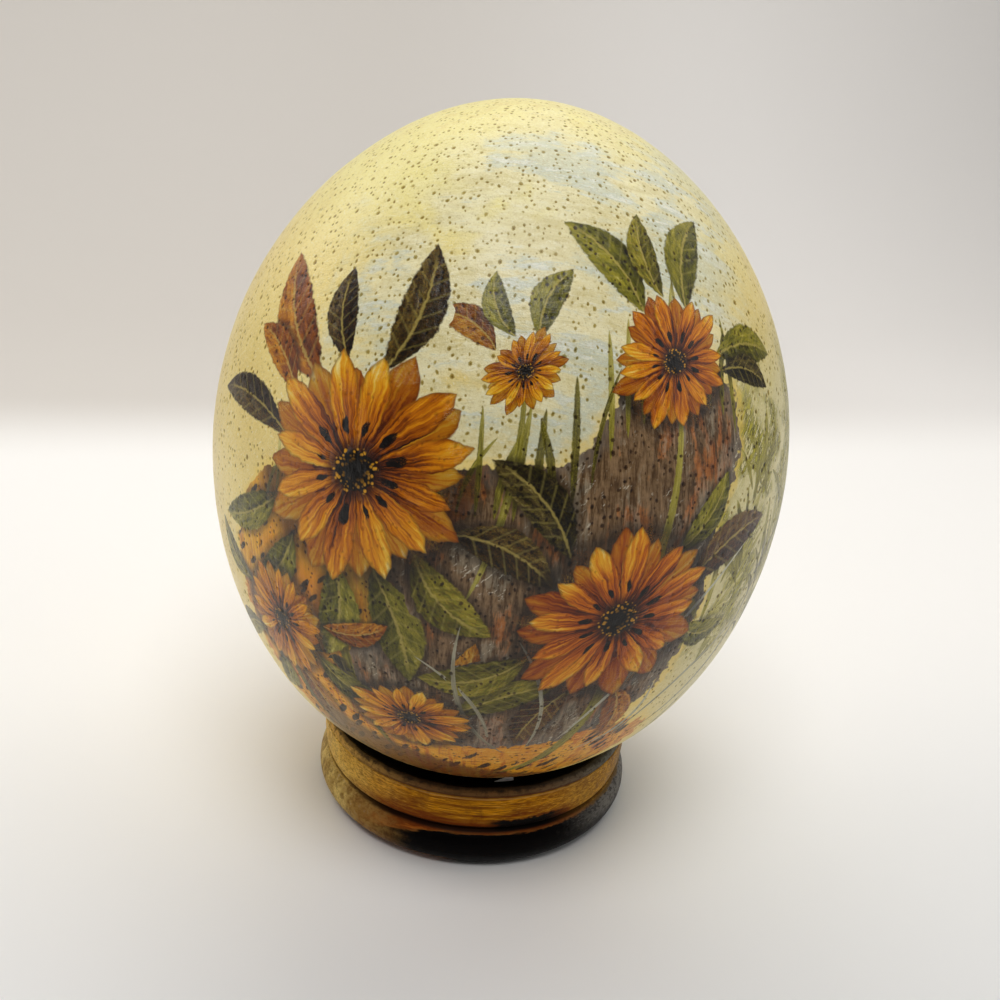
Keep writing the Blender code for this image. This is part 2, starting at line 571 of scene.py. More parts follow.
def unwrap(mesh, places):
    """Stores a place on the flat map for every face corner, inside a small margin."""
    flat = 0.005 + 0.99 * np.asarray(places, np.float32)
    mesh.uv_layers.new(name="OFBake").data.foreach_set("uv", flat.ravel())


# ---- painting's layout

# Places on the shell are azimuth and elevation in degrees, from the side that faces the camera.


def towards(azimuth, elevation):
    """The direction from the egg's centre to a place on the shell."""
    azimuth, elevation = math.radians(azimuth), math.radians(elevation)
    flat = math.cos(elevation)
    return np.array([math.sin(azimuth) * flat, -math.cos(azimuth) * flat, math.sin(elevation)])


def side_and_up(middle):
    """The directions along the shell, to the right and upwards, at a place."""
    side = np.cross((0, 0, 1), middle)
    side /= np.linalg.norm(side)
    return side, np.cross(middle, side)


def moved(start, heading, distance):
    """The direction reached from start over the shell; heading 0 goes right and 90 goes up."""
    side, up = side_and_up(start)
    heading = math.radians(heading)
    ahead = side * math.cos(heading) + up * math.sin(heading)
    angle = distance / SPHERE
    return start * math.cos(angle) + ahead * math.sin(angle)


def pick(faces, layers, margin):
    """The layer's coordinates at every face corner, from the one motif that its face belongs to.

    Each of layers gives depth in mm, which is below 0 outside the motif, and two coordinates. The
    third coordinate is the motif's number, or 0 where none is within margin. The first motif that
    covers any of a face has it, or else the nearest one.
    """
    best = np.full(len(faces), -margin)
    found = np.zeros((*faces.shape, 3))
    for number, (depth, first, other) in enumerate(layers, 1):
        deep = depth[faces].max(1)
        deep = np.where(deep > 0, 1000 - number, deep)
        chosen = deep > best
        best[chosen] = deep[chosen]
        spots = faces[chosen]
        found[chosen] = np.stack([first[spots], other[spots], np.full(spots.shape, float(number))], -1)
    return found.reshape(-1, 3)


def flower_layer(unit, middle, radius, turn, squash):
    """Coordinates from a flower's middle, in units of its radius, flattened by squash along one side."""
    side, up = side_and_up(middle)
    angle = np.arccos(np.clip(unit @ middle, -1, 1))
    scale = SPHERE * angle / np.maximum(np.sin(angle), 1e-6) / radius
    x, y = unit @ side * scale, unit @ up * scale
    turn = math.radians(turn)
    x, y = x * math.cos(turn) + y * math.sin(turn), (y * math.cos(turn) - x * math.sin(turn)) / squash
    return (1 - np.hypot(x, y)) * radius, x, y


def stroke_layer(unit, start, end, width, bend):
    """Coordinates along a curved stroke, from 0 to 1, and across it, in units of half its width."""
    middle = (start + end) / np.linalg.norm(start + end)
    ahead = end - start
    ahead /= np.linalg.norm(ahead)
    aside = np.cross(middle, ahead)
    length = SPHERE * math.acos(np.clip(start @ end, -1, 1))
    along = SPHERE * np.arctan2(unit @ ahead, unit @ middle) / length + 0.5
    across = SPHERE * np.arcsin(np.clip(unit @ aside, -1, 1))
    across -= bend * (1 - (2 * along - 1) ** 2)
    beyond = np.maximum(np.abs(along - 0.5) - 0.5, 0) * length
    lens = 4 * np.clip(along, 0, 1) * (1 - np.clip(along, 0, 1))
    depth = width / 2 * lens**0.7 - np.abs(across) - beyond
    return np.where(unit @ middle < 0, -1e6, depth), along, across * 2 / width


# Azimuth, elevation, radius, turn, squash.
FLOWERS = (
    (-25, 13, 26, 10, 0.93),
    (23, -8, 23, 40, 0.90),
    (-41, -21, 15, 75, 0.84),
    (32, 35, 15, 20, 0.84),
    (106, 10, 17, 60, 0.84),
    (-13, -34, 14, 0, 0.78),
    (165, 8, 20, 15, 0.9),
    (2, 33, 9, 50, 0.8),
)
# Flower, heading and start from its middle in radii, length, width, bend.
LEAVES_BEHIND = (
    (0, 128, 0.7, 32, 11, 3), (0, 172, 0.7, 30, 8, -3), (0, 86, 0.75, 26, 9, -3), (0, 208, 0.8, 26, 8, 2),
    (0, 262, 0.75, 26, 10, 3), (0, 318, 0.75, 24, 10, -3),
    (1, 20, 0.7, 28, 10, 3), (1, 345, 0.75, 16, 7, -3), (1, 280, 0.8, 18, 7, 2), (1, 132, 0.8, 26, 9, -3),
    (2, 150, 0.7, 18, 7, 3), (2, 222, 0.75, 20, 7, -3), (2, 330, 0.7, 20, 8, -3), (2, 280, 0.8, 20, 7, 2),
    (3, 62, 0.7, 22, 8, 3), (3, 118, 0.7, 22, 8, -2), (3, 4, 0.7, 22, 8, 2),
    (4, 80, 0.7, 28, 8, 3), (4, 130, 0.7, 24, 8, -3), (4, 20, 0.7, 26, 8, -3), (4, 240, 0.7, 26, 8, 3),
    (5, 20, 0.7, 24, 8, 2), (5, 160, 0.7, 26, 8, -2),
    (6, 60, 0.7, 30, 9, 3), (6, 190, 0.7, 32, 10, -3), (6, 300, 0.7, 28, 9, 3), (7, 70, 0.7, 15, 6, 2),
    (7, 150, 0.7, 14, 6, -2), (0, 288, 0.75, 28, 11, 2),
)
LEAVES_BEFORE = (
    (0, 147, 0.8, 21, 7, -2), (0, 108, 0.8, 19, 7, 2), (0, 340, 0.85, 24, 9, 3), (0, 232, 0.85, 20, 8, 2),
    (1, 50, 0.8, 20, 7, -2), (1, 208, 0.85, 24, 9, 3), (1, 250, 0.85, 20, 8, -2), (2, 250, 0.8, 16, 6, 2),
    (2, 15, 0.85, 17, 6, -2), (3, 350, 0.8, 18, 6, 2), (3, 90, 0.8, 17, 6, 2), (4, 50, 0.8, 18, 6, -2),
    (4, 200, 0.8, 22, 7, 2), (5, 60, 0.8, 17, 6, -2), (6, 120, 0.8, 22, 8, -2), (7, 110, 0.7, 13, 5, 2),
)
# Start and end as azimuth and elevation, width, bend.
STEMS = (
    (32, 35, 12, -30, 2.2, 8), (-25, 13, -16, -50, 2.8, -5), (23, -8, 6, -54, 2.8, 6),
    (-41, -21, -26, -54, 2.4, -4), (106, 10, 74, -44, 2.2, 9), (165, 8, 150, -45, 2.6, 5),
    (2, 33, -4, -6, 1.8, 3),
)
PALE_BLADES = (
    (18, -38, 52, 2, 1.2, 6), (8, -42, -4, -10, 1.2, 5), (32, -40, 60, -16, 1.1, 5),
    (4, -40, -12, -18, 1.0, -5), (40, -40, 62, 4, 1.2, -6), (24, -42, 36, -24, 1.1, -4),
    (12, -40, 6, -12, 1.0, -4),
)
# Each ground is the union of flattened blobs: azimuth, elevation, half length, half height, turn.
GROUND = (
    (12, -4, 33, 27, 20), (19, -12, 24, 26, -14), (0, -27, 29, 16, 0), (31, 20, 21, 17, 60),
    (-8, 6, 16, 13, 0),
)
GOLD = ((-31, -10, 26, 28, -30), (-20, -36, 34, 20, -22), (4, -47, 34, 15, 4), (-16, -4, 28, 22, 0))
# Tufts of grass on the bare shell at the right: azimuth and elevation of their roots.
TUFTS = (
    (41, -14), (50, -22), (48, -4), (60, -10), (66, -24), (54, 12), (70, 4), (78, -18), (88, -30),
    (102, -24), (118, -36),
)
GRASS_SETS = 4  # layers of blades, so that neighbours may cross
FLOWER_MARGIN = 5.0  # round a flower, where its shadow falls
STROKE_MARGIN = 2.0


def grass():
    """Blades in GRASS_SETS layers: some stand on the grounds' upper edge, the others in tufts."""
    rng = np.random.default_rng(SEED + 1)
    heights = np.arange(60, -40, -0.5)
    blades = []
    for azimuth in np.arange(-44, 50, 3.1):
        column = np.array([towards(azimuth, height) for height in heights])
        inside = np.maximum(blobs(column, GROUND), blobs(column, GOLD)) > 0
        top = heights[np.argmax(inside)] if inside.any() else -40
        reach = rng.uniform(5, 13)
        lean = rng.uniform(-6, 6)
        ends = towards(azimuth, top - 8), towards(azimuth + lean, top + reach)
        blades.append((*ends, rng.uniform(1, 2), lean * 0.25))
    for spot in TUFTS:
        for slant in range(-4, 6):
            root = towards(spot[0] + rng.uniform(-3.5, 3.5), spot[1] + rng.uniform(-4, 4))
            heading = 84 - 12 * slant + rng.uniform(-8, 8)
            tip = moved(root, heading, rng.uniform(8, 20))
            blades.append((root, tip, rng.uniform(1.2, 2.4), 0.3 * slant))
    return [blades[i::GRASS_SETS] for i in range(GRASS_SETS)]


def blobs(unit, shapes):
    """Depth in mm inside a union of ovals, softly joined."""
    total = np.zeros(len(unit))
    for azimuth, elevation, long, high, turn in shapes:
        _, x, y = flower_layer(unit, towards(azimuth, elevation), long, turn, high / long)
        depth = (1 - np.hypot(x, y)) * high
        total += np.exp(np.clip(depth, -60, 60) / 4)
    return 4 * np.log(total + 1e-9)


def lay_out_painting(mesh, places, faces):
    """Stores where every motif lies on the shell, for the shader to paint."""
    unit = normalized(places)
    middles = [towards(*flower[:2]) for flower in FLOWERS]
    shapes = [flower_layer(unit, middle, *flower[2:]) for middle, flower in zip(middles, FLOWERS)]
    store(mesh, "flower", pick(faces, shapes, FLOWER_MARGIN))
    for name, leaves in (("leaf_behind", LEAVES_BEHIND), ("leaf_before", LEAVES_BEFORE)):
        shapes = []
        for flower, heading, start, length, width, bend in leaves:
            start *= FLOWERS[flower][2]
            ends = (moved(middles[flower], heading, distance) for distance in (start, start + length))
            shapes.append(stroke_layer(unit, *ends, width, bend))
        store(mesh, name, pick(faces, shapes, STROKE_MARGIN))
    sets = [(f"grass_{i}", blades) for i, blades in enumerate(grass())]
    for name, table in (("stem", STEMS), ("blade", PALE_BLADES)):
        sets.append((name, [(towards(*s[:2]), towards(*s[2:4]), *s[4:]) for s in table]))
    for name, strokes in sets:
        shapes = [stroke_layer(unit, *stroke) for stroke in strokes]
        store(mesh, name, pick(faces, shapes, STROKE_MARGIN))
    store(mesh, "ground", blobs(unit, GROUND))
    store(mesh, "gold", blobs(unit, GOLD))


# ---- painting's brushwork

# Paints, each from its darkest to its lightest tone.
RED_PETAL = ((32, 8, 3), (116, 38, 4), (182, 78, 4), (220, 122, 8), (238, 168, 34), (246, 216, 116))
GOLD_PETAL = ((44, 16, 3), (148, 74, 4), (206, 124, 4), (234, 166, 20), (244, 200, 64), (250, 230, 150))
GREEN_LEAF = ((18, 16, 4), (58, 54, 10), (108, 104, 22), (162, 150, 44), (226, 214, 130))
RUST_LEAF = ((26, 9, 3), (86, 36, 5), (148, 78, 10), (204, 136, 30), (240, 200, 96))
DARK_LEAF = ((4, 3, 2), (12, 8, 4), (38, 28, 12), (92, 76, 38), (176, 158, 98))
GREEN_BLADE = ((64, 56, 12), (110, 102, 24), (148, 138, 44), (184, 170, 76), (222, 210, 138))
PALE_BLADE = ((120, 112, 84), (176, 170, 144), (216, 214, 196))
PETALS = 12  # in each of a daisy's two whorls


def on(g, number):
    """1 where a layer's motif number says that a motif is near."""
    return g.math("GREATER_THAN", number, 0.5)


def ramp(g, value, stops):
    """A colour that runs through evenly spaced stops as value goes from 0 to 1."""
    made = g.node("ShaderNodeValToRGB", {0: value})
    elements = made.color_ramp.elements
    while len(elements) < len(stops):
        elements.new(1)
    for i, stop in enumerate(stops):
        elements[i].position = i / (len(stops) - 1)
        elements[i].color = srgb(*stop)
    return made.outputs[0]


def petals(g, radius, turn, number, layer, wide):
    """One whorl of petals: their colour, and 1 where they lie."""
    place = turn * PETALS + layer * 0.5
    index = g.math("FLOOR", place)
    across = place - index - 0.5
    index = g.math("FLOORED_MODULO", index, PETALS)
    long, lean, tone = g.chance(index + layer * 31, number * 7)
    reach = radius / (long * 0.22 + (0.80 + 0.02 * layer))
    across = across + (lean - 0.5) * reach * 0.35
    edge = 1 - reach**4 - abs(across) * wide
    streak = g.noise((across * 6 + index * 3.7, radius * 1.6, number), 1, 3, 0.65)
    fine = g.noise((across * 16 + index * 5.1, radius * 2.5, number + 3), 1, 2)
    light = reach * 0.62 + 0.05 + (streak - 0.5) * 1.35 + (fine - 0.5) * 0.7 + (tone - 0.5) * 0.3
    light = light + across * 0.25
    colour = g.mix(g.math("FRACT", number * 0.38), ramp(g, light, GOLD_PETAL), ramp(g, light, RED_PETAL))
    rib = 1 - g.ease(abs(across), 0, 0.07)
    from_spot = (across * across) * 28 + (reach - 0.37) * (reach - 0.37) * 110
    spot = g.ease(from_spot + (streak - 0.5) * 1.2 + (tone - 0.5) * 0.8, 1, 0.55)
    colour = g.coats(
        colour,
        (rib * (1 - g.ease(reach, 0.3, 0.85)) * 0.7, (80, 22, 6)),
        (spot, (12, 6, 4)),
        ((1 - g.ease(edge, 0.02, 0.22)) * 0.65, (62, 18, 5)),
    )
    return colour, g.ease(edge, 0, 0.07)


def daisy(g, wobble):
    """A daisy with two whorls of petals, in the flower layer's coordinates."""
    x, y, number = g.layer("flower")
    shift_x, shift_y, _ = g.split(wobble)
    x, y = x + (shift_x - 0.5) * 0.06, y + (shift_y - 0.5) * 0.06
    radius = (x * x + y * y) ** 0.5
    turn = g.math("ARCTAN2", y, x) / math.tau
    behind, behind_mask = petals(g, radius, turn, number, 1, 1.7)
    before, before_mask = petals(g, radius, turn, number, 0, 1.95)
    dots, _ = g.cells((x, y, number), 26)
    dab = 1 - g.ease(dots, 0.2, 0.5)
    heart = g.mix(dab * g.ease(radius, 0.06, 0.2), (12, 7, 4), (226, 160, 36))
    colour = g.coats(
        behind,
        (0.45, (104, 34, 4)),
        (before_mask, before),
        ((1 - g.ease(radius, 0.18, 0.32)) * 0.85, (38, 10, 4)),
        (1 - g.ease(radius + (dots - 0.4) * 0.05, 0.17, 0.20), heart),
    )
    present = on(g, number)
    shadow = (1 - g.ease(radius, 0.88, 1.12)) * present
    return colour, g.most(before_mask, behind_mask) * present, shadow


def leaf(g, name, warp, grain):
    """A pointed leaf with a light rib, in a stroke layer's coordinates; its kind goes with its number."""
    along, across, number = g.layer(name)
    vein = g.ease(abs(g.math("FRACT", along * 8 - abs(across) * 1.1) - 0.5), 0.16, 0)
    push, pull, _ = g.split(warp)
    along, across = along + (push - 0.5) * 0.04, across + (pull - 0.5) * 0.22
    lens = g.most(along * (1 - along) * 4, 0) ** 0.92
    edge = lens * (1.06 + (grain - 0.5) * 0.22) - abs(across) - g.most(abs(along - 0.5) - 0.5, 0) * 6
    streak = g.noise((along * 7 - abs(across) * 1.9, across * 3.2, number * 3), 1, 4, 0.7)
    light = streak * 1.25 + g.ease(across, -0.2, 0.2) * 0.20 - 0.30 + along * 0.14
    kind, _, _ = g.chance(number, 4)
    rib = g.ease(abs(across), 0.10, 0.01) * g.ease(along, 1, 0.7)
    colour = g.coats(
        ramp(g, light, GREEN_LEAF),
        (g.math("GREATER_THAN", kind, 0.74), ramp(g, light, DARK_LEAF)),
        (g.math("LESS_THAN", kind, 0.24), ramp(g, light, RUST_LEAF)),
        (vein * g.ease(lens, 0.2, 0.6) * streak * 0.34, (200, 182, 98)),
        (rib * 0.45, (214, 190, 100)),
        (g.ease(edge, 0.14, 0) * 0.65, (22, 14, 5)),
    )
    present = on(g, number)
    return colour, g.ease(edge, 0, 0.12) * present, g.ease(edge, -0.45, 0) * present


def stroke(g, name, grain, stops):
    """A single tapering brush stroke whose bristles run along it, in one of the stops' colours."""
    along, across, number = g.layer(name)
    lens = g.most(along * (1 - along) * 4, 0) ** 0.5
    edge = lens * (1 + (grain - 0.5) * 0.7) - abs(across)
    streak = g.noise((along * 5, across * 1.6, number * 3), 1, 3, 0.7)
    tone, _, _ = g.chance(number, 9)
    light = (streak - 0.5) * 1.3 + tone * 0.8 + along * 0.3 - 0.05
    return ramp(g, light, stops), g.ease(edge, 0, 0.3) * on(g, number)


def shell_colour(g, place, grain, speck, patches, hairs):
    """Bare shell: yellow cream, under thin brushed washes of sky over the front and the top."""
    x, y, z = g.split(place)
    limb = g.noise(g.scaled(place, (0.5, 0.5, 0.12)), 0.5, 4, 0.7)
    brushed = g.noise((x * 0.07 + z * 0.02, z * 0.05, (z + y) * 0.22), 1, 5, 0.68, 0.5)
    cloud = g.noise((x * 0.7, y * 0.7, z * 1.4 + 30), 0.05, 4, 0.6, 0.5)
    front = g.ease(y * 0.8 - x * 0.4 + (patches - 0.5) * 40, 0, -28) * g.ease(x, 52, 30)
    front = front * g.ease(x + (limb - 0.5) * 24 - z * 0.2, -64, -46)
    wash = front * g.ease(z, 70, 92)
    blue = wash * g.ease(cloud + (brushed - 0.5) * 0.5 + (hairs - 0.5) * 0.16, 0.46, 0.58)
    broken = brushed + (hairs - 0.5) * 0.3
    white = wash * g.ease(broken, 0.55, 0.64) * g.ease(cloud, 0.44, 0.52)
    faint, (size, tone, _) = g.cells(place, 0.52)
    faint = g.ease(faint + (grain - 0.5) * 0.16, 0.10 + size * 0.14, 0.03 + size * 0.08) * (tone * 0.8 + 0.2)
    return g.coats(
        g.mix(g.ease(patches, 0.35, 0.65), (252, 228, 146), (242, 216, 132)),
        (g.ease(z, 132, 156) * 0.7, (246, 238, 158)),
        (g.ease(limb, 0.45, 0.68) * g.ease(y, -30, -5) * 0.45, (222, 194, 110)),
        (
            wash * g.ease(cloud, 0.26, 0.42) * 0.9,
            g.mix(g.ease(brushed, 0.35, 0.6), (226, 213, 158), (247, 238, 194)),
        ),
        (blue * 0.8, (210, 213, 188)),
        (blue * g.ease(broken, 0.50, 0.62) * 0.55, (186, 198, 190)),
        (white * 0.65, (252, 248, 228)),
        (wash * g.ease(hairs, 0.55, 0.68) * 0.45, (255, 250, 222)),
        (wash * g.ease(hairs, 0.44, 0.33) * 0.4, (204, 192, 136)),
        (g.ease(x, 30, 48) * g.ease(z, 138, 112), (228, 216, 158)),
        (g.ease(speck, 0.54, 0.66) * 0.6, (255, 248, 214)),
        (g.ease(speck, 0.48, 0.36) * 0.4, (196, 172, 102)),
        (faint * 0.55, (168, 150, 84)),
    )


def foliage(g, colour, around, x, z, bristle):
    """The colour under short dabs of green, on the bare shell at the right."""
    dabs = g.noise(((around + z) * 0.14, (z - around) * 0.80, 5), 1, 4, 0.8, 0.3)
    leafy = g.noise((around * 0.055, z * 0.055, 2), 1, 3, 0.6)
    leafy = g.ease(leafy, 0.42, 0.54) * g.ease(x, 31, 41) * g.ease(z, 132, 112) * g.ease(z, 60, 74)
    green = g.mix(g.ease(dabs, 0.44, 0.60), (82, 78, 2), (186, 174, 40))
    return g.mix(leafy * g.ease(dabs + (bristle - 0.5) * 0.4, 0.43, 0.46) * 0.95, colour, green)


def gold_colour(g, around, z, grain, patches, bristle, sweeps):
    """Golden ground with slanting dark dabs."""
    warm = g.mix(g.ease(bristle + (patches - 0.5) * 0.6, 0.42, 0.56), (206, 96, 2), (240, 164, 18))
    low = g.ease(z, 66, 46)
    dabs, (drawn, _, _) = g.cells(((around + z) * 0.11 + grain * 0.25, (z - around) * 0.34, 1), 1, 0.9)
    dab = g.ease(dabs + (bristle - 0.5) * 0.35 - low * 0.10, 0.34, 0.24)
    return g.coats(
        g.mix(g.ease(bristle, 0.32, 0.66), (204, 126, 6), (246, 190, 40)),
        (g.ease(patches + (bristle - 0.5) * 0.5, 0.52, 0.66) * 0.55, (200, 92, 6)),
        (g.ease(patches, 0.44, 0.32) * 0.6, (248, 212, 104)),
        (g.ease(bristle, 0.62, 0.72) * g.ease(grain, 0.50, 0.60) * 0.7, (250, 228, 150)),
        (g.ease(bristle, 0.38, 0.30) * 0.6, (134, 62, 8)),
        (g.ease(z, 80, 50) * 0.62, warm),
        (low * g.ease(sweeps, 0.53, 0.64) * 0.7, (250, 204, 84)),
        (low * g.ease(sweeps, 0.46, 0.36) * 0.7, (148, 62, 2)),
        (
            dab * g.math("GREATER_THAN", drawn, 0.35) * 0.95,
            g.mix(g.ease(bristle, 0.45, 0.65), (20, 12, 6), (78, 58, 30)),
        ),
    )


def dark_colour(g, around, z, grain, bristle, depth):
    """Umber ground, brushed up and down, with patches of rust and grey and dry cream flecks."""
    tone = g.noise((around * 0.10, z * 0.04, 4), 1, 4, 0.6, 0.8)
    other = g.noise((around * 0.12, z * 0.06, 9), 1, 4, 0.65, 0.8)
    fine = g.noise((around * 1.5, z * 0.22, 6), 1, 4, 0.7, 0.2)
    dry = g.noise(((around - z) * 0.8, (around + z) * 0.2, 12), 1, 3, 0.8)
    rough = bristle * 0.5 + fine * 0.35 + grain * 0.15
    rust = g.mix(g.ease(rough, 0.42, 0.58), (124, 60, 16), (190, 110, 42))
    grey = g.mix(g.ease(rough, 0.42, 0.58), (102, 94, 77), (156, 145, 122))
    fleck = g.ease(dry, 0.58, 0.62) * g.ease(tone, 0.52, 0.44) * g.ease(other, 0.46, 0.52)
    return g.coats(
        g.mix(g.ease(rough, 0.40, 0.60), (80, 56, 31), (146, 116, 82)),
        (g.ease(tone + (rough - 0.5) * 0.7, 0.52, 0.62) * 0.7, rust),
        (g.ease(other + (rough - 0.5) * 0.7, 0.50, 0.60) * 0.6, grey),
        (g.ease(depth, 4, 0.3) * 0.6, (112, 103, 92)),
        (g.ease(bristle, 0.60, 0.70) * g.ease(other, 0.48, 0.42) * 0.4, (176, 148, 104)),
        (g.ease(fine, 0.42, 0.34) * 0.5, (44, 30, 16)),
        (fleck * 0.75, (222, 212, 188)),
    )


def motifs(g, colour, grounds, grain, warp, wobble):
    """The colour under all motifs, with the masks of all paint and of the flowers alone."""
    painted = grounds
    for name in [f"grass_{i}" for i in range(GRASS_SETS)] + ["stem"]:
        blade, mask = stroke(g, name, grain, GREEN_BLADE)
        colour = g.mix(mask * 0.94, colour, blade)
        painted = g.most(painted, mask)
    for name in ("leaf_behind", "leaf_before"):
        leaves, mask, shadow = leaf(g, name, warp, grain)
        colour = g.coats(colour, (shadow * painted * 0.6, (22, 15, 9)), (mask, leaves))
        painted = g.most(painted, mask)
    blade, mask = stroke(g, "blade", grain, PALE_BLADE)
    bloom, blooms, shadow = daisy(g, wobble)
    colour = g.coats(colour, (mask * 0.9, blade), (shadow * grounds * 0.8, (24, 16, 10)), (blooms, bloom))
    return colour, g.most(painted, blooms), blooms


def stand_shaded(g, colour, x, y, z, bristle):
    """The colour under painted shade from the stand: dull brown, low on the front where the shell nears it.
    """
    # Painted shade where the shell nears the stand, grey-brown at the left and red-brown at the right.
    low = g.ease(z + x * 0.36 + (bristle - 0.5) * 4, 36.4, 33.6) * g.ease(y, -20, -34)
    stand_shade = g.mix(g.ease(x, -28, -6), (132, 108, 72), (92, 38, 12))
    stand_shade = g.mix(g.ease(bristle, 0.42, 0.58) * 0.6, stand_shade, (70, 48, 26))
    return g.mix(low * g.ease(x, -38, -29) * 0.82, colour, stand_shade)


def pored(g, colour, painted, blooms):
    """The colour, darker in the pores, which show less through the flowers' paint."""
    pore = g.attribute("pore")
    shown = 1 - blooms * 0.7
    rim = g.mix(painted, (188, 175, 118), (146, 132, 114))
    colour = g.mix(g.ease(pore, 0, 0.34) * shown, colour, rim, "MULTIPLY")
    pit = g.mix(painted, (186, 174, 134), (156, 146, 134))
    return g.mix(g.ease(pore, 0.38, 0.80) * shown, colour, pit, "MULTIPLY")


def shell_material():
    """The painted and varnished shell."""
    g = Graph("painted_shell")
    place = g.place()
    x, y, z = g.split(place)
    around = g.math("ARCTAN2", x, y * -1) * EGG_RADIUS
    wobble = g.noise(place, 0.30, 2, 0.6, colour=True)
    warp = g.noise(place, 0.85, 2, 0.6, colour=True)
    grain = g.noise(place, 1.1, 3, 0.6)
    speck = g.noise(place, 2.6, 2, 0.7) * 0.6 + grain * 0.4
    patches = g.noise(place, 0.035, 3)
    bristle = g.noise((around * 0.62, z * 0.11, 0), 1, 4, 0.7, 0.5)
    hairs = g.noise((x * 0.34 + z * 0.1, z * 0.2, (z + y) * 1.1), 1, 4, 0.7, 0.4)
    sweeps = g.noise((x * 0.30, 3, (z - y) * 0.9), 1, 4, 0.7, 0.4)

    colour = shell_colour(g, place, grain, speck, patches, hairs)
    colour = foliage(g, colour, around, x, z, bristle)
    push, pull, _ = g.split(wobble)
    ground = g.attribute("ground") + (grain - 0.5) * 0.8 + (push - 0.5) * 6
    gold = g.attribute("gold") + (grain - 0.5) * 0.8 + (pull - 0.5) * 5
    ground_mask, gold_mask = g.ease(ground, 0, 0.5), g.ease(gold, 0, 0.5)
    colour = g.coats(
        colour,
        # A warm underwash shows past the edges of the grounds.
        (g.ease(g.most(ground, gold), -2.6, 0.2) * 0.65, (247, 212, 100)),
        (gold_mask, gold_colour(g, around, z, grain, patches, bristle, sweeps)),
        (ground_mask, dark_colour(g, around, z, grain, bristle, ground)),
    )
    colour, painted, blooms = motifs(g, colour, g.most(ground_mask, gold_mask), grain, warp, wobble)
    colour = stand_shaded(g, colour, x, y, z, bristle)
    colour = pored(g, colour, painted, blooms)

    # The relief reads few layers, because the bump works it out three times over.
    thick = g.ease(g.most(g.attribute("ground"), g.attribute("gold")), -1, 1.5)
    relief = speck * 0.7 + hairs * 0.5 + bristle * thick * 0.8
    bump = g.node("ShaderNodeBump", {"Height": relief, "Strength": 0.6, "Distance": 0.0003})
    return g.finish(
        Base_Color=colour, Roughness=0.32, Specular_IOR_Level=0.30, Coat_Weight=0.08, Coat_Roughness=0.14,
        Normal=bump.outputs[0],
    )


# ---- stand's stain


def band_colour(g, turn, z, streak, fine, cloud, mottle):
    """Gold wood with dark streaks, tan at the left and browner to the right, with painted grey sheen at the
    right and painted shade low on the front.
    """
    gold = g.mix(g.ease(streak, 0.34, 0.62), (150, 86, 4), (216, 144, 12))
    tan = g.mix(g.ease(cloud, 0.35, 0.65), (206, 160, 64), (238, 196, 94))
    brown = g.mix(g.ease(mottle, 0.35, 0.65), (150, 104, 36), (206, 152, 52))
    uneven = turn + (streak - 0.5) * 8 + (mottle - 0.5) * 5
    front = g.ease(uneven, -56, -26) * g.ease(uneven, 50, 34)
    blot = g.ease(uneven, 6, 13) * g.ease(uneven, 40, 30)
    return g.coats(
        tan,
        (g.ease(turn, -58, -16), gold),
        (g.ease(turn, 22, 48), brown),
        # Painted sheen: greyer at the right.
        (g.ease(turn, 56, 84) * 0.75, (112, 100, 78)),
        (g.ease(fine, 0.48, 0.62) * 0.6, (104, 52, 8)),
        (g.ease(fine, 0.46, 0.36) * 0.45, (240, 184, 70)),
        (g.ease(cloud + (mottle - 0.5) * 0.4, 0.54, 0.68) * 0.45, (104, 60, 20)),
        # Painted shade: red-brown low on the band, at the front.
        (g.ease(z + (streak - 0.5) * 4, 16, 12.2) * front * 0.85, (112, 44, 6)),
        (blot * g.ease(z + (mottle - 0.5) * 3, 13.9, 12.9), (10, 6, 4)),
    )


def roll_colour(g, turn, z, streak, fine, cloud, mottle):
    """Mottled tan at the left; nearly black at the front, a dark stain with painted shade, under a painted
    highlight on its top edge; painted grey sheen at the right.
    """
    uneven = turn + (streak - 0.5) * 12 + (mottle - 0.5) * 8
    heel = g.ease(z + (mottle - 0.5) * 1.5, 2.6, 1.4) * g.ease(uneven, -66, -48)
    # Painted grey sheen at the right.
    grey = g.mix(g.ease(z + (cloud - 0.5) * 3, 4, 7.5), (40, 40, 42), (122, 118, 112))
    grey = g.mix(g.ease(fine * 0.5 + mottle * 0.5, 0.47, 0.58) * 0.7, grey, (38, 34, 34))
    # Nearly black at the front, a dark stain with painted shade, turning into the painted sheen at the
    # right.
    black_to_sheen = g.mix(g.ease(turn + (mottle - 0.5) * 24, 34, 62), (4, 2, 2), grey)
    slope = g.ease(turn, -46, -6, 5.4, 9.35) + (streak - 0.5) * 1.5 + (fine - 0.5) * 0.9
    edge = g.ease(z - slope, -0.25, 0.35)
    dark_front = g.ease(uneven, -40, -18) * (1 - heel * g.ease(turn, 0, -14))
    # A painted highlight, orange-brown, along the roll's top edge at the front.
    edge_highlight = g.mix(g.ease(streak, 0.4, 0.6), (122, 56, 14), (182, 100, 32))
    edge_highlight = g.mix(g.ease(turn, 30, 60), edge_highlight, (112, 92, 58))
    return g.coats(
        g.mix(g.ease(cloud, 0.40, 0.60), (224, 194, 112), (184, 150, 78)),
        (g.ease(mottle, 0.46, 0.62) * 0.6, (98, 66, 32)),
        (g.ease(mottle, 0.42, 0.32) * 0.5, (196, 178, 140)),
        (g.ease(fine, 0.50, 0.66) * 0.4, (84, 50, 20)),
        (g.ease(uneven, -62, -32) * 0.75, (124, 74, 22)),
        (heel * 0.8, (126, 66, 36)),
        (dark_front * (1 - edge), black_to_sheen),
        (dark_front * edge, edge_highlight),
    )


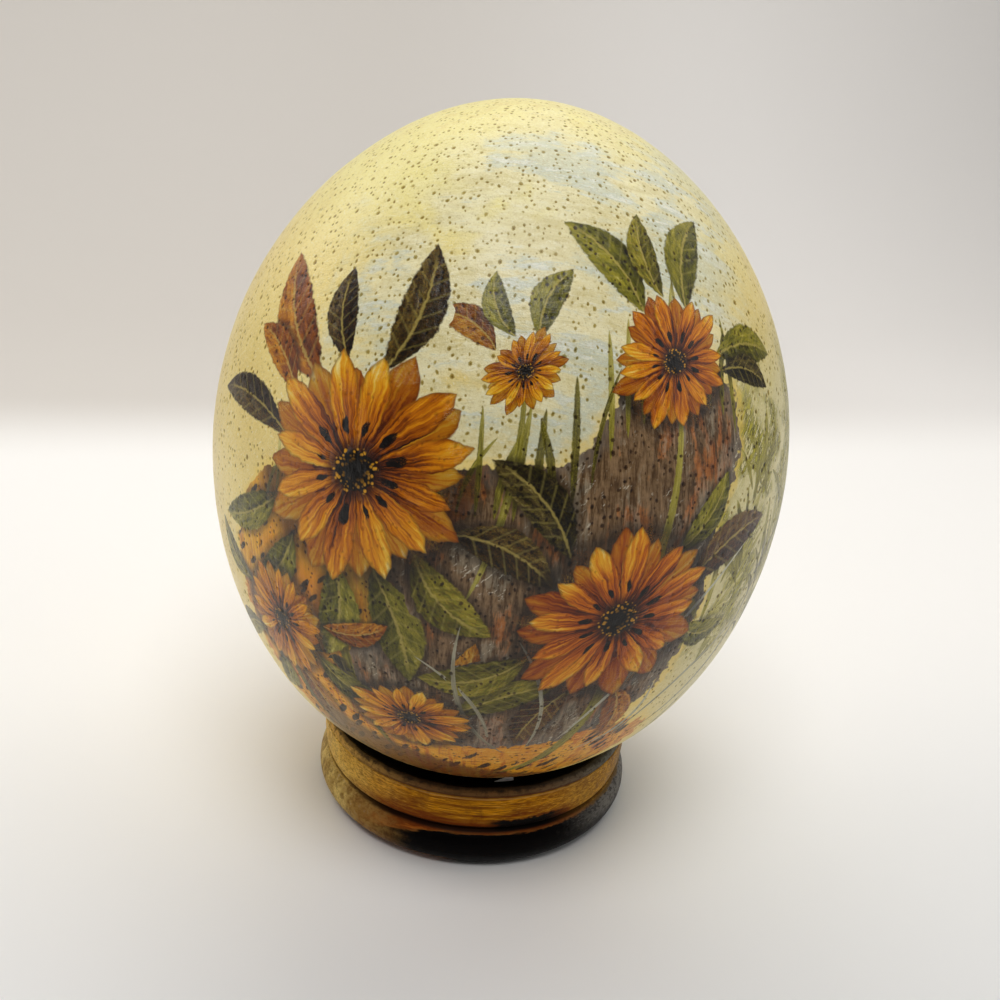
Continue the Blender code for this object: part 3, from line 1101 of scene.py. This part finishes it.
def lip_colour(g, turn, z, fine, mottle):
    """Nearly black at its crest as painted shade under the egg, and satin brown below, tan to the left and
    painted grey sheen to the right.
    """
    return g.coats(
        g.mix(g.ease(turn, -56, -14), (206, 160, 76), (130, 93, 54)),
        # Painted grey sheen to the right.
        (g.ease(turn, 10, 62), (106, 104, 92)),
        (g.ease(fine, 0.48, 0.64) * 0.5, (58, 40, 24)),
        (g.ease(mottle, 0.48, 0.62) * 0.4, (60, 44, 30)),
        # Painted shade at the crest, under the egg.
        (g.ease(z + (mottle - 0.5) * 1.6, 20.9, 21.6) * 0.75, (48, 42, 36)),
        (g.ease(z, 20.45, 20.15) * g.ease(abs(turn), 60, 30) * 0.6, (84, 42, 10)),
    )


def stand_material():
    """Hardwood under a gold to black finish, whose grain runs left to right through the ring, with painted
    shade, highlights and sheen.
    """
    g = Graph("stained_wood")
    place = g.place()
    x, y, z = g.split(place)
    turn = g.math("ARCTAN2", x, y * -1) * (180 / math.pi)
    radius = (x * x + y * y) ** 0.5
    streak = g.noise((x * 0.05, y * 0.22, z * 0.85), 1, 4, 0.65, 0.4)
    fine = g.noise((x * 0.22, y * 1.2, z * 3.2), 1, 4, 0.65)
    cloud = g.noise(place, 0.13, 4, 0.65)
    mottle = g.noise(place, 0.55, 4, 0.7)

    # The back joins the two sides in one even brown.
    plain = g.mix(g.ease(streak, 0.34, 0.62), (120, 76, 26), (178, 126, 52))
    plain = g.mix(g.ease(fine, 0.46, 0.64) * 0.6, plain, (76, 44, 16))
    plain = g.mix(g.ease(cloud, 0.50, 0.66) * 0.5, plain, (66, 46, 28))
    # A painted highlight along the arris between the band and the lip.
    arris_highlight = g.ease(abs(z - 19.55), 0.28, 0.12) * g.ease(radius, 37.2, 37.5)
    # Painted shade in the groove between band and roll: black at the front, brown at the sides.
    front = g.ease(abs(turn + (streak - 0.5) * 10), 62, 28)
    groove_shade = g.mix(front, (96, 64, 26), (10, 6, 4))
    in_groove = g.ease(abs(z - 10.45 + (streak - 0.5) * 0.6), 0.7 + front * 0.55, 0.3 + front * 0.3)
    # Painted shade, nearly black, inside the rim and down the seat under the egg.
    inside = g.ease(radius + (cloud - 0.5) * 1.2, 36.75, 36.2) * g.ease(z, 18, 19)
    colour = g.coats(
        band_colour(g, turn, z, streak, fine, cloud, mottle),
        (g.ease(z, 10, 9.6), roll_colour(g, turn, z, streak, fine, cloud, mottle)),
        (g.ease(z, 19.78, 19.9), lip_colour(g, turn, z, fine, mottle)),
        (g.ease(abs(turn) + (cloud - 0.5) * 60, 100, 140), plain),
        (arris_highlight * g.ease(abs(turn - 8), 60, 10) * 0.5, (206, 158, 92)),
        (in_groove * g.ease(radius, 38, 37.4) * 0.9, groove_shade),
        (g.most(inside, g.ease(radius, 33, 30)), (15, 11, 8)),
    )
    bump = g.node("ShaderNodeBump", {"Height": fine + streak, "Strength": 0.35, "Distance": 0.0002})
    return g.finish(
        Base_Color=colour, Roughness=g.ease(mottle, 0.3, 0.7, 0.38, 0.52), Specular_IOR_Level=0.05,
        Normal=bump.outputs[0],
    )


# ---- stage


def rotation(axis, angle):
    return Matrix.Rotation(angle, 3, axis)


def build_camera():
    data = bpy.data.cameras.new("camera")
    camera = linked("camera", data)
    bpy.context.scene.camera = camera
    data.sensor_fit = "HORIZONTAL"
    data.sensor_width = SENSOR
    data.lens = FOCAL_PIXELS / FRAME_PIXELS * SENSOR
    data.clip_start, data.clip_end = 0.01, 20
    level = Matrix(((1, 0, 0), (0, 0, -1), (0, 1, 0)))  # rows: right, down, ahead
    rows = rotation("Z", CAMERA_ROLL) @ rotation("Y", CAMERA_YAW) @ rotation("X", CAMERA_PITCH) @ level
    turn = Matrix((rows[0], -rows[1], -rows[2])).transposed()
    camera.matrix_world = Matrix.Translation((0, -CAMERA_BACK * MM, CAMERA_HEIGHT * MM)) @ turn.to_4x4()


def plain_material(name, colour, roughness):
    return Graph(name).finish(Base_Color=colour, Roughness=roughness)


def floor_material():
    """Pale and plain, a little darker in front of the egg as painted shade, and greyer far behind the egg.
    """
    g = Graph("floor")
    across, depth, _ = g.split(g.place())
    # Painted shade: darker in front of the egg.
    near = g.mix(g.ease(depth, -100, 90), (234, 233, 231), (248, 245, 240))
    far = g.mix(g.ease(across, 20, 340), (211, 205, 197), (234, 230, 225))
    return g.finish(Base_Color=g.mix(g.ease(depth, 215, 300), near, far), Roughness=0.6)


def build_stage():
    """A pale sweep: a floor that curves up into a wall."""
    front, back, side, height, bend = -1800, 700, 1500, 1500, 300
    profile = [(front, 0), (back - bend, 0)]
    for i in range(1, 13):
        angle = math.pi / 2 * i / 12
        profile.append((back - bend + bend * math.sin(angle), bend - bend * math.cos(angle)))
    profile.append((back, height))
    points = [(x, y, z) for y, z in profile for x in (-side, side)]
    faces = [(2 * i, 2 * i + 1, 2 * i + 3, 2 * i + 2) for i in range(len(profile) - 1)]
    mesh = new_mesh("floor", points, faces)
    mesh.materials.append(floor_material())
    floor = linked("floor", mesh)
    floor.rotation_euler.z = STAGE_TURN


def build_light(name, place, aim, size, power):
    """A soft rectangular lamp that faces a point."""
    data = bpy.data.lights.new(name, "AREA")
    data.shape = "RECTANGLE"
    data.size, data.size_y = size[0] * MM, size[1] * MM
    data.energy = power
    lamp = linked(name, data)
    lamp.visible_camera = False
    lamp.location = Vector(place) * MM
    ahead = Vector(aim) * MM - lamp.location
    lamp.rotation_euler = ahead.to_track_quat("-Z", "Y").to_euler()


def build_lights():
    world = bpy.data.worlds.new("world")
    bpy.context.scene.world = world
    world.use_nodes = True
    background = world.node_tree.nodes["Background"]
    background.inputs["Color"].default_value = (1, 1, 1, 1)
    background.inputs["Strength"].default_value = 0.03
    build_light("above", (0, -400, 900), (0, 0, 60), (500, 400), 4.5)
    build_light("behind", (110, 300, 900), (150, 500, 0), (900, 300), 2.5)
    build_light("table", (0, 300, 450), (0, 220, 0), (1200, 200), 1)
    build_light("left", (-600, 250, 500), (0, 0, 80), (400, 400), 0.85)
    build_light("left low", (-500, -120, 130), (0, 0, 25), (300, 200), 0.3)
    build_light("right", (800, -100, 420), (0, 0, 80), (500, 500), 1.1)
    bpy.context.scene.view_settings.view_transform = "Standard"
    bpy.context.scene.view_settings.look = "None"


build_camera()
build_lights()
build_stage()
build_egg()
build_stand()
build_fleck()
